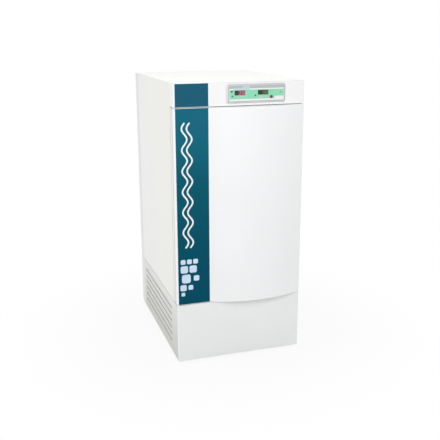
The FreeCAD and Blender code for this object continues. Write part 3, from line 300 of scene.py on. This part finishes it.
materials = {
    "shell_white": powder_coat("white", (0.865, 0.868, 0.845), 0.46),
    "door_white": powder_coat(
        "door", (0.900, 0.910, 0.915), 0.42, vary=0.010, bump=0.00004, bump_scale=500.0,
        **{"Coat Weight": 0.04, "Coat Roughness": 0.30},
    ),
    "liner_white": surface(
        "moulded_liner", (0.86, 0.86, 0.85), 0.40, vary=0.015, bump=0.00004, bump_scale=350.0,
        edge=WORN_WHITE,
    ),
    # The film's tint is painted light: shade at its foot and a painted reflection higher up.
    "stripe_film": surface(
        "teal_film", (0.006, 0.110, 0.170), 0.34, vary=0.04, vary_scale=5.0, rough_vary=0.02,
        tint=film_painted_light, edge_width=0.0004, **{"Specular IOR Level": 0.03},
    ),
    "stainless": surface(
        "brushed_stainless", (0.60, 0.60, 0.59), 0.32, vary=0.05, vary_scale=4.0, bump=0.00003,
        bump_scale=180.0, stretch=(1, 1, 60), edge=STEEL_EDGE, Metallic=1.0,
    ),
    "galvanised": surface(
        "zinc_coated_sheet", (0.52, 0.54, 0.55), 0.42, vary=0.12, vary_scale=45.0, bump=0.00004,
        bump_scale=120.0, edge=STEEL_EDGE, Metallic=0.9,
    ),
    "plated_steel": surface(
        "zinc_plated_steel", (0.60, 0.60, 0.58), 0.30, vary=0.06, vary_scale=20.0, bump=0.00002,
        bump_scale=300.0, edge=STEEL_EDGE, Metallic=1.0,
    ),
    "foam": surface(
        "rigid_foam", (0.80, 0.70, 0.44), 0.95, vary=0.08, vary_scale=25.0, bump=0.0006,
        bump_scale=260.0,
    ),
    "bush_plastic": surface("bearing_plastic", (0.70, 0.70, 0.66), 0.45, bump=0.00003),
    "gasket_rubber": surface(
        "seal_rubber", (0.30, 0.31, 0.32), 0.62, vary=0.05, vary_scale=12.0, bump=0.00005,
        bump_scale=500.0,
    ),
    # The bezel's tint paints light on its rim.
    "bezel_grey": surface(
        "bezel_plastic", (0.455, 0.475, 0.490), 0.48, vary=0.02, vary_scale=9.0, bump=0.00009,
        bump_scale=1100.0, tint=bezel_painted_light, edge_width=0.0008,
    ),
    "membrane_green": surface(
        "membrane_film", (0.83, 0.87, 0.84), 0.38, vary=0.01, bump=0.00002, bump_scale=600.0,
        tint=panel_print, edge_width=0.0004,
    ),
    "display_dark": surface(
        "tinted_window", (0.030, 0.042, 0.030), 0.20, vary=0.10, vary_scale=40.0,
        edge_width=0.0004, **{"Specular IOR Level": 0.3},
    ),
    "board_green": surface(
        "circuit_board", (0.02, 0.10, 0.035), 0.45, vary=0.15, vary_scale=90.0, bump=0.00006,
        bump_scale=400.0,
    ),
    "key_white": surface(
        "moulded_key", (0.66, 0.71, 0.72), 0.42, vary=0.02, bump=0.00003, edge=WORN_WHITE,
        edge_width=0.0006,
    ),
    "button_red": surface(
        "red_button", (0.20, 0.026, 0.045), 0.30, vary=0.05, vary_scale=60.0, edge_width=0.0008,
        **{"Coat Weight": 0.3, "Coat Roughness": 0.1},
    ),
    "black_plastic": surface(
        "black_moulding", (0.022, 0.022, 0.024), 0.50, vary=0.08, vary_scale=30.0, bump=0.00008,
        edge=(0.07, 0.07, 0.07),
    ),
    "painted_casting": surface(
        "grey_enamel_casting", (0.10, 0.12, 0.14), 0.50, vary=0.08, vary_scale=15.0, bump=0.00025,
        bump_scale=160.0, edge=(0.20, 0.22, 0.23),
    ),
    "cast_crank": surface(
        "machined_casting", (0.24, 0.24, 0.25), 0.48, vary=0.10, vary_scale=25.0, bump=0.00012,
        bump_scale=300.0, edge=(0.45, 0.45, 0.45), Metallic=0.85,
    ),
    "aluminium": surface(
        "milled_aluminium", (0.70, 0.71, 0.72), 0.36, vary=0.05, vary_scale=7.0, bump=0.00003,
        bump_scale=200.0, stretch=(60, 1, 1), edge=(0.9, 0.9, 0.9), Metallic=1.0,
    ),
    "belt_rubber": surface(
        "belt_rubber_black", (0.018, 0.018, 0.018), 0.70, vary=0.10, vary_scale=30.0, bump=0.0002,
        bump_scale=400.0,
    ),
    "motor_paint": surface(
        "dark_enamel", (0.05, 0.06, 0.08), 0.38, vary=0.06, vary_scale=18.0, bump=0.00006,
        bump_scale=300.0, edge=(0.16, 0.17, 0.18),
    ),
    "compressor_black": surface(
        "gloss_enamel_black", (0.012, 0.012, 0.013), 0.26, vary=0.10, vary_scale=14.0,
        bump=0.00008, bump_scale=180.0, edge=(0.06, 0.06, 0.06),
    ),
}

# Finishes of pieces that differ from the rest of their slot; the head, rear and louvre copies of the
# shell white are painted light and shade.

# The head's paint is a lighter copy of the shell white: painted light on the head.
shell_head_painted_light = powder_coat("head", (0.895, 0.90, 0.895), 0.36, vary=0.010, bump=0.00004,
                         bump_scale=500.0)
# The rear cover's paint is a darker copy of the shell white: painted shade.
shell_rear_painted_shade = powder_coat("rear", (0.79, 0.795, 0.78), 0.50, vary=0.015, bump=0.00008,
                         bump_scale=650.0)
shell_side = powder_coat("side", (0.862, 0.870, 0.862), 0.46, tint=side_tone)
shell_base = powder_coat("base", (0.86, 0.875, 0.87), 0.46)
# The louvre panels' paint is a darker copy of the shell white: painted shade, darker still towards
# the floor.
shell_louvre_painted_shade = powder_coat("louvre", (0.615, 0.610, 0.575), 0.50, vary=0.02, bump=0.00008,
                           bump_scale=650.0, tint=louvre_painted_shade)
shell_core = surface("door_foam", (0.80, 0.70, 0.44), 0.90, vary=0.06, vary_scale=25.0,
                     bump=0.0002, bump_scale=260.0, tint=groove_trim)

art_white = ink("art_white", (0.86, 0.90, 0.92), 0.40, 0.02, 20.0)
art_pale = ink("art_pale_blue", (0.62, 0.76, 0.90), 0.40, 0.04, 14.0)
dark_mark = ink("printed_mark", (0.05, 0.10, 0.09), 0.50, 0.10, 200.0)
olive_mark = ink("printed_olive", (0.28, 0.36, 0.10), 0.50, 0.10, 200.0)
label_blue = ink("label_pale_blue", (0.50, 0.68, 0.74), 0.42, 0.03, 60.0)
label_grey = ink("label_blue_grey", (0.55, 0.61, 0.68), 0.42, 0.03, 60.0)
label_white = ink("label_white", (0.84, 0.85, 0.86), 0.42, 0.02, 60.0)
red_window = ink("red_window", (0.22, 0.045, 0.080), 0.25, 0.12, 120.0,
                 **{"Emission Color": (0.40, 0.04, 0.10), "Emission Strength": 0.12})
olive_window = ink("olive_window", (0.062, 0.095, 0.045), 0.25, 0.12, 120.0,
                   **{"Specular IOR Level": 0.3})
red_digit = glowing("red_digit", (0.90, 0.26, 0.42), (0.30, 0.05, 0.06), 0.62)
green_digit = glowing("green_digit", (0.17, 0.24, 0.10), (0.05, 0.08, 0.04), 0.60)

bare_plate = surface("anodised_plate", (0.62, 0.63, 0.64), 0.34, vary=0.04, vary_scale=10.0,
                     bump=0.00002, bump_scale=150.0, stretch=(1, 1, 80), edge_width=0.0004,
                     Metallic=1.0)
mat_rubber = surface("ribbed_mat_rubber", (0.035, 0.036, 0.038), 0.72, vary=0.10, vary_scale=20.0,
                     bump=0.00015, bump_scale=350.0)
sleeve_rubber = surface("grip_sleeve_rubber", (0.05, 0.052, 0.055), 0.65, vary=0.10,
                        vary_scale=30.0, bump=0.00010, bump_scale=500.0)


def dress(name, material):
    slots = nodes[name].data.materials
    slots.clear()
    slots.append(material)


for entry in frame["record"]["subparts"]:
    dress(entry["node"], materials[entry["material_slot"]])
for name, material in (
    ("head_fascia", shell_head_painted_light), ("rear_panel", shell_rear_painted_shade), ("base_front_panel", shell_base),
    ("louvre_panel_left", shell_louvre_painted_shade), ("louvre_panel_right", shell_louvre_painted_shade),
    ("side_panel_left", shell_side), ("side_panel_right", shell_side), ("door_core", shell_core),
):
    dress(name, material)


# Making pieces


def new_object(name, mesh, material):
    """Turn a bmesh into an object of the scene."""
    data = bpy.data.meshes.new(name)
    mesh.to_mesh(data)
    mesh.free()
    data.materials.append(material)
    thing = bpy.data.objects.new(name, data)
    bpy.context.scene.collection.objects.link(thing)
    return thing


def settle(name, mesh, material, body, smooth=None):
    """Turn a bmesh into a piece on a body. Edges under the angle smooth, in degrees, look round."""
    bmesh.ops.recalc_face_normals(mesh, faces=mesh.faces)
    piece = new_object(name, mesh, material)
    if smooth is not None:
        piece.data.shade_smooth()
        piece.data.set_sharp_from_angle(angle=math.radians(smooth))
    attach(piece, body)
    return piece


def bridge(mesh, first, second):
    """Join two rings of equally many vertices with a band of faces."""
    for index, corner in enumerate(first):
        after = (index + 1) % len(first)
        mesh.faces.new((corner, first[after], second[after], second[index]))


def prism(mesh, outline, back, front):
    """A flat shape given by its outline of (x, z) points, between two depths."""
    low = [mesh.verts.new((x, back, z)) for x, z in outline]
    high = [mesh.verts.new((x, front, z)) for x, z in outline]
    mesh.faces.new(low)
    mesh.faces.new(high[::-1])
    bridge(mesh, high, low)


def relief(name, outlines, back, thick, material, body):
    """Flat shapes of one thickness. A negative thickness builds towards the front."""
    mesh = bmesh.new()
    for outline in outlines:
        prism(mesh, outline, back, back + thick)
    settle(name, mesh, material, body)


def corner_arcs(low, high, radius, steps):
    """Go round the corners of a rectangle: each arc's centre, and the angle of each point on it."""
    for x, z, start in (
        (high[0] - radius, high[1] - radius, 0),
        (low[0] + radius, high[1] - radius, 90),
        (low[0] + radius, low[1] + radius, 180),
        (high[0] - radius, low[1] + radius, 270),
    ):
        for step in range(steps + 1):
            yield x, z, math.radians(start + 90 * step / steps)


def rounded_box(low, high, radius, steps=5):
    """Outline of a rectangle with round corners, from two corners (x, z)."""
    return [
        (x + radius * math.cos(angle), z + radius * math.sin(angle))
        for x, z, angle in corner_arcs(low, high, radius, steps)
    ]


def ribbon(line, width):
    """Outline of a stroke of one width along a line, with round ends."""
    half = width / 2
    left, right = [], []
    for index, point in enumerate(line):
        before = Vector(line[max(index - 1, 0)])
        after = Vector(line[min(index + 1, len(line) - 1)])
        along = (after - before).normalized()
        across = Vector((-along.y, along.x)) * half
        left.append(Vector(point) + across)
        right.append(Vector(point) - across)
    steps = 6
    caps = []
    for end, start in ((line[-1], left[-1]), (line[0], right[0])):
        arm = start - Vector(end)
        caps.append([
            Vector(end) + Matrix.Rotation(-math.pi * step / steps, 2) @ arm
            for step in range(1, steps)
        ])
    return left + caps[0] + right[::-1] + caps[1]


def lathe(mesh, profile, centre, axis, steps):
    """Turn a profile of (radius, along) pairs round an axis. A zero radius at its end closes it."""
    axis = Vector(axis).normalized()
    side = axis.orthogonal().normalized()
    other = axis.cross(side)
    rings = []
    for radius, along in profile:
        middle = Vector(centre) + axis * along
        turns = [2 * math.pi * step / steps for step in range(steps if radius else 1)]
        rings.append([
            mesh.verts.new(middle + radius * (math.cos(turn) * side + math.sin(turn) * other))
            for turn in turns
        ])
    for first, second in zip(rings, rings[1:]):
        if len(second) > 1:
            bridge(mesh, first, second)
            continue
        for index, corner in enumerate(first):
            mesh.faces.new((corner, first[(index + 1) % steps], second[0]))


# Printed stripe

PRINT = -0.00015    # thickness of a printed layer, towards the front


def stripe_waves():
    """Two parallel wave lines up the stripe."""
    swing, pitch, width, steps = 0.0135, 0.108, 0.0085, 150
    inset, apart = 0.0445, 0.026
    foot_margin, top_margin = 0.3165, 0.0725
    low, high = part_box("door_stripe")
    foot, top = low.z + foot_margin, high.z - top_margin
    heights = [foot + (top - foot) * step / steps for step in range(steps + 1)]
    waves = []
    for centre in (low.x + inset, low.x + inset + apart):
        line = [(centre + swing * math.sin(2 * math.pi * (z - foot) / pitch), z) for z in heights]
        waves.append(ribbon(line, width))
    relief("stripe_wave_lines", waves, FILM_FRONT, PRINT, art_white, "door")


def stripe_squares():
    """A loose group of rounded squares near the foot of the stripe: the centre of each, from the
    stripe's lower left corner, and its side."""
    bend_share = 0.24
    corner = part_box("door_stripe")[0]
    squares = []
    for along, up, side in (
        (0.027, 0.2375, 0.026), (0.061, 0.2375, 0.026), (0.095, 0.2375, 0.026),
        (0.033, 0.1955, 0.040), (0.081, 0.1955, 0.040),
        (0.043, 0.1435, 0.048), (0.099, 0.1435, 0.030),
        (0.027, 0.0935, 0.034), (0.067, 0.0935, 0.026),
        (0.025, 0.0575, 0.020),
    ):
        x, z, half = corner.x + along, corner.z + up, side / 2
        squares.append(rounded_box((x - half, z - half), (x + half, z + half), side * bend_share))
    relief("stripe_squares", squares, FILM_FRONT, PRINT, art_pale, "door")


# Control panel

SEGMENTS = {"0": "abcdef", "1": "bc", "3": "abgcd", "5": "afgcd", "7": "abc"}
WINDOW_WIDTH = 0.056


def digit_shapes(text, x, z, width, height, stroke, gap):
    """Seven-segment digits from the left, with their lower left corner at (x, z)."""
    lean = math.tan(math.radians(7))
    notch = stroke * 0.12
    dot = stroke * 0.62
    dot_bend = dot * 0.9
    dot_back = gap * 0.75
    middle = height / 2
    lines = {
        "a": (0, height, width, height), "b": (width, middle, width, height),
        "c": (width, 0, width, middle), "d": (0, 0, width, 0), "e": (0, 0, 0, middle),
        "f": (0, middle, 0, height), "g": (0, middle, width, middle),
    }

    def bar(left, low, right, high):
        along = Vector((right - left, high - low)).normalized()
        across = Vector((-along.y, along.x)) * stroke / 2
        tip = along * stroke / 2
        start = Vector((left, low)) + along * notch
        end = Vector((right, high)) - along * notch
        points = (
            start, start + tip + across, end - tip + across,
            end, end - tip - across, start + tip - across,
        )
        return [(x + point.x + point.y * lean, z + point.y) for point in points]

    shapes = []
    for sign in text:
        if sign == ".":
            left = x - dot_back
            shapes.append(rounded_box((left, z - dot), (left + 2 * dot, z + dot), dot_bend))
            continue
        shapes += [bar(*lines[segment]) for segment in SEGMENTS[sign]]
        x += width + gap
    return shapes


def display(side, start, bare_share, filter_look, text, inset, digit_sizes, digit_look):
    """A tinted filter on the right part of a display window, and lit digits on it.

    The digits start at an inset from the filter's left edge. Their sizes are the width, the
    stroke and the gap.
    """
    margin, bend = 0.0008, 0.001
    digit_margin = 0.0045
    width, stroke, gap = digit_sizes
    low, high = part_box("display_windows")
    split = start + WINDOW_WIDTH * bare_share
    end = start + WINDOW_WIDTH
    glass = rounded_box((split, low.z + margin), (end - margin, high.z - margin), bend)
    relief(side + "_display_filter", [glass], WINDOW_FRONT, PRINT, filter_look,
           "cabinet")
    tall = high.z - low.z - 2 * digit_margin
    digits = digit_shapes(text, split + inset, low.z + digit_margin, width, tall, stroke, gap)
    relief(side + "_display_digits", digits, WINDOW_FRONT + PRINT, PRINT, digit_look,
           "cabinet")


def displays():
    low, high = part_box("display_windows")
    display("left", low.x, 0.36, red_window, "37.0", 0.0045, (0.0066, 0.0018, 0.0042), red_digit)
    display("right", high.x - WINDOW_WIDTH, 0.43, olive_window, "150", 0.00242,
            (0.0062, 0.0017, 0.0036), green_digit)


def panel_marks():
    """Dots, lamp marks and bare labels: x and z from the membrane's lower left corner, the width,
    the height and the corner radius of each."""
    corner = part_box("membrane_panel")[0]
    for name, look, patches in (
        ("panel_dots", dark_mark, (
            (0.0075, 0.0430, 0.0115, 0.0090, 0.0042),
            (0.0125, 0.0200, 0.0085, 0.0080, 0.0038),
            (0.1355, 0.0210, 0.0085, 0.0085, 0.0040),
        )),
        ("panel_lamp_marks", olive_mark, (
            (0.2180, 0.0455, 0.0060, 0.0045, 0.0020),
            (0.2725, 0.0360, 0.0090, 0.0075, 0.0034),
        )),
        ("panel_blue_label", label_blue, ((0.0210, 0.0556, 0.0880, 0.0099, 0.0012),)),
        ("panel_grey_label", label_grey, ((0.0713, 0.0655, 0.0377, 0.0115, 0.0012),)),
        ("panel_white_label", label_white, ((0.2430, 0.0025, 0.0508, 0.0180, 0.0015),)),
    ):
        outlines = []
        for x, z, wide, tall, bend in patches:
            start = (corner.x + x, corner.z + z)
            outlines.append(rounded_box(start, (start[0] + wide, start[1] + tall), bend))
        relief(name, outlines, PANEL_FRONT, PRINT, look, "cabinet")


def key_signs():
    """An arrow up, an arrow down or a dash on each set key."""
    reach = 0.0019
    tail = reach * 0.7
    dash, dash_bend = 0.0005, 0.0003
    thick = -0.00012
    for name in nodes:
        if not name.endswith("_key"):
            continue
        low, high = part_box(name)
        x = (low.x + high.x) / 2
        z = (low.z + high.z) / 2
        if "_up_" in name:
            sign = [(x - reach, z - tail), (x + reach, z - tail), (x, z + reach)]
        elif "_down_" in name:
            sign = [(x - reach, z + tail), (x, z - reach), (x + reach, z + tail)]
        else:
            sign = rounded_box((x - reach, z - dash), (x + reach, z + dash), dash_bend)
        relief(name + "_sign", [sign], low.y, thick, dark_mark, name)


# Rear

SCREW_SHARES = (
    (0.98, 0.0), (1.0, 0.35), (0.86, 0.75), (0.55, 1.0), (0.5, 1.0), (0.34, 0.45), (0.0, 0.45),
)


def screw(mesh, at, axis, radius):
    """A pan-head screw with a round recess in its head."""
    tall = radius / 2
    profile = [(radius * out, tall * up) for out, up in SCREW_SHARES]
    lathe(mesh, profile, at, axis, steps=16)


def rear_screws():
    """Screws round the rear cover, and two small ones beside the mains inlet."""
    cover_screw, inlet_screw, inlet_reach = 0.0045, 0.003, 0.0345
    side, foot, top, rows = 0.0195, 0.018, 0.0185, (0.378, 0.743, 1.106)
    low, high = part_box("rear_panel")
    left, right = low.x + side, high.x - side
    places = []
    for step in range(4):
        x = left + (right - left) * step / 3
        places += [(x, low.z + foot), (x, high.z - top)]
    places += [(x, low.z + row) for x in (left, right) for row in rows]
    mesh = bmesh.new()
    for x, z in places:
        screw(mesh, (x, REAR, z), REARWARD, cover_screw)
    low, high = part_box("mains_inlet")
    x, z = (low.x + high.x) / 2, (low.z + high.z) / 2
    for reach in (inlet_reach, -inlet_reach):
        screw(mesh, (x + reach, REAR, z), REARWARD, inlet_screw)
    settle("rear_screws", mesh, materials["plated_steel"], "cabinet", smooth=35)


def rear_plate():
    """A bare metal plate with a rivet in each corner."""
    left, foot, width, height = 0.080, 0.085, 0.150, 0.060
    thick, bend, inset = 0.0006, 0.004, 0.007
    low, high = (left, foot), (left + width, foot + height)
    rivet = [(0.0022, 0), (0.0020, 0.0008), (0.0012, 0.0013), (0, 0.0015)]
    outline = rounded_box(low, high, bend)
    relief("bare_plate", [outline], REAR, thick, bare_plate, "cabinet")
    mesh = bmesh.new()
    for x in (low[0] + inset, high[0] - inset):
        for z in (low[1] + inset, high[1] - inset):
            lathe(mesh, rivet, (x, REAR + thick, z), REARWARD, steps=12)
    settle("plate_rivets", mesh, materials["aluminium"], "cabinet", smooth=40)


# Door

# Section of the seal: inset from its outer edge, and share of the plain ring's depth.
SEAL_SECTION = (
    (0.0030, 0.00), (0.0042, 0.22), (0.0018, 0.36), (0.0006, 0.52), (0.0010, 0.80),
    (0.0032, 1.00), (0.0090, 0.94), (0.0148, 1.00), (0.0170, 0.80), (0.0174, 0.52),
    (0.0162, 0.36), (0.0138, 0.22), (0.0150, 0.00),
)


def door_seal():
    """A folded magnetic seal that runs round the door, in place of the plain ring."""
    radius = 0.026
    low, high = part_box("door_gasket")
    depth = high.y - low.y
    mesh = bmesh.new()
    rings = []
    for x, z, angle in corner_arcs((low.x, low.z), (high.x, high.z), radius, steps=8):
        out = Vector((math.cos(angle), 0, math.sin(angle)))
        rings.append([
            mesh.verts.new(Vector((x, low.y + share * depth, z)) + out * (radius - inset))
            for inset, share in SEAL_SECTION
        ])
    for index, ring in enumerate(rings):
        bridge(mesh, ring, rings[(index + 1) % len(rings)])
    seal = settle("folded_door_seal", mesh, materials["gasket_rubber"], "door",
                  smooth=50)
    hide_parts("door_gasket")


def door_pressing():
    """The raised field pressed into the inner face of the door, inside the seal."""
    side, foot, top, bend = 0.074, 0.0695, 0.0675, 0.045
    levels = ((0.0, 0.0), (0.004, 0.0035), (0.010, 0.0070), (0.018, 0.0085))
    low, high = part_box("door_gasket")
    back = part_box("door_liner")[1].y
    mesh = bmesh.new()
    rings = []
    for inset, rise in levels:
        near = (low.x + side + inset, low.z + foot + inset)
        far = (high.x - side - inset, high.z - top - inset)
        outline = rounded_box(near, far, bend - inset, steps=8)
        rings.append([mesh.verts.new((x, back + rise, z)) for x, z in outline])
    for first, second in zip(rings, rings[1:]):
        bridge(mesh, first, second)
    mesh.faces.new(rings[-1])
    mesh.faces.new(rings[0])
    settle("door_inner_pressing", mesh, materials["liner_white"], "door", smooth=40)


# Chamber


def ribbed_mat():
    """A mat on the tray of the platform, with ribs from front to rear."""
    inset, ribs = 0.006, 64
    sheet, crest = 0.0012, 0.0022
    low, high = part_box("platform")
    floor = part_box("clamp_rack")[0].z
    left, right = low.x + inset, high.x - inset
    pitch = (right - left) / ribs
    outline = [(left, floor)]
    for index in range(ribs):
        start = left + pitch * index
        for share, rise in ((0.0, sheet), (0.45, sheet), (0.60, crest), (0.85, crest)):
            outline.append((start + pitch * share, floor + rise))
    outline += [(right, floor + sheet), (right, floor)]
    mesh = bmesh.new()
    prism(mesh, outline, low.y + inset, high.y - inset)
    settle("ribbed_mat", mesh, mat_rubber, "platform")


def grip_sleeves():
    """Ringed grip sleeves on the clamping bars of the platform."""
    bars, margin, above = 5, 0.068, 0.046
    sleeves, inset, gap = 3, 0.020, 0.011
    length, grooves = 0.150, 12
    bore, rim, valley, crest = 0.0081, 0.0082, 0.0100, 0.0108
    low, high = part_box("platform")
    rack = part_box("clamp_rack")[0]
    pitch = length / grooves
    ring = ((valley, 0.12), (crest, 0.30), (crest, 0.70), (valley, 0.88))
    profile = [(rim, 0)]
    for index in range(grooves):
        profile += [(radius, pitch * (index + share)) for radius, share in ring]
    profile += [(rim, length), (bore, length), (bore, 0), (rim, 0)]
    mesh = bmesh.new()
    for index in range(bars):
        y = low.y + margin + (high.y - low.y - 2 * margin) * index / (bars - 1)
        for place in range(sleeves):
            start = rack.x + inset + (length + gap) * place
            lathe(mesh, profile, (start, y, rack.z + above), RIGHTWARD, steps=20)
    settle("grip_sleeves", mesh, sleeve_rubber, "platform", smooth=40)


def duct_screws():
    """Screws that hold the duct cover."""
    inset, radius, rows = 0.018, 0.005, (0.028, 0.308, 0.588, 0.873)
    low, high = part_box("duct_cover")
    mesh = bmesh.new()
    for x in (low.x + inset, high.x - inset):
        for row in rows:
            screw(mesh, (x, low.y, low.z + row), FRONTWARD, radius)
    settle("duct_screws", mesh, materials["stainless"], "cabinet", smooth=35)


stripe_waves()
stripe_squares()
displays()
panel_marks()
key_signs()
rear_screws()
rear_plate()
door_seal()
door_pressing()
ribbed_mat()
grip_sleeves()
duct_screws()


# Stage, light and camera

PURE_WHITE = (1, 1, 1)


def floor_paint():
    """A pale floor with a faint shadow near the cabinet, which glows pure white further out."""
    near, far = 0.6, 1.35
    near_share = 0.88
    recipe = Recipe(bpy.data.materials.new("pale_floor"))
    away = recipe.add("VectorMath", {0: recipe.place}, operation="LENGTH").outputs["Value"]
    fade = recipe.span(away, near_share, 1.0, near, far)
    tone = recipe.mottle(6.0, (0.74, 0.74, 0.74), (0.76, 0.76, 0.76))
    paint = recipe.add("BsdfDiffuse", {"Color": tone})
    glow = recipe.add("Emission", {"Color": PURE_WHITE, "Strength": 1.0})
    share = recipe.calc("MULTIPLY", recipe.seen(), fade)
    both = recipe.add("MixShader", {0: share, 1: paint.outputs[0], 2: glow.outputs[0]})
    return recipe.finish(both.outputs[0])


def stage():
    reach = 30
    mesh = bmesh.new()
    corners = ((-reach, -reach), (reach, -reach), (reach, reach), (-reach, reach))
    mesh.faces.new([mesh.verts.new((x, y, 0)) for x, y in corners])
    floor = new_object("floor", mesh, floor_paint())


def world_light(level):
    """Even light of one level, seen by the camera, in gloss and through glass as pure white."""
    recipe = Recipe(bpy.data.worlds.new("studio"))
    plain = recipe.add("Background", {"Color": PURE_WHITE, "Strength": level})
    white = recipe.add("Background", {"Color": PURE_WHITE, "Strength": 1.0})
    both = recipe.add("MixShader", {0: recipe.seen(), 1: plain.outputs[0], 2: white.outputs[0]})
    bpy.context.scene.world = recipe.finish(both.outputs[0], "OutputWorld")


def soft_box(name, at, target, size, power):
    light = bpy.data.lights.new(name, "AREA")
    light.shape = "RECTANGLE"
    light.size, light.size_y = size
    light.energy = power
    lamp = bpy.data.objects.new(name, light)
    bpy.context.scene.collection.objects.link(lamp)
    lamp.location = at
    lamp.rotation_euler = (Vector(target) - Vector(at)).to_track_quat("-Z", "Y").to_euler()


def camera():
    """The photo's viewpoint, fitted to the cabinet's corners in it."""
    place = (-1.1732, -3.7627, 1.7600)
    yaw, tilt, roll = (math.radians(angle) for angle in (17.750, 15.555, -0.219))
    across, ahead = math.sin(yaw), math.cos(yaw)
    forward = Vector((across * math.cos(tilt), ahead * math.cos(tilt), -math.sin(tilt)))
    right = Vector((ahead, -across, 0))
    up = right.cross(forward)
    right, up = (
        math.cos(roll) * right + math.sin(roll) * up,
        -math.sin(roll) * right + math.cos(roll) * up,
    )
    turn = Matrix((right, up, -forward)).transposed()
    data = bpy.data.cameras.new("photo_camera")
    data.lens = 56.35
    data.sensor_width = 36
    data.clip_start = 0.05
    data.clip_end = 100
    eye = bpy.data.objects.new("photo_camera", data)
    bpy.context.scene.collection.objects.link(eye)
    eye.matrix_world = Matrix.Translation(place) @ turn.to_4x4()
    bpy.context.scene.camera = eye


stage()
world_light(0.515)
soft_box("key_light", (-0.6, -3.5, 2.9), (0, 0, 1.05), (1.8, 1.8), 64.5)
soft_box("left_light", (-3.4, 0.2, 1.7), (0, 0, 0.7), (2.0, 2.0), 34)
soft_box("right_light", (3.4, 0.2, 1.7), (0, 0, 0.7), (2.0, 2.0), 17)
soft_box("back_light", (1.6, 3.4, 0.8), (0, 0, 0.75), (1.8, 1.4), 34)
soft_box("top_light", (0, 0.2, 4.0), (0, 0.2, 0), (2.0, 2.0), 28)
camera()

scene = bpy.context.scene
scene.view_settings.view_transform = "Standard"
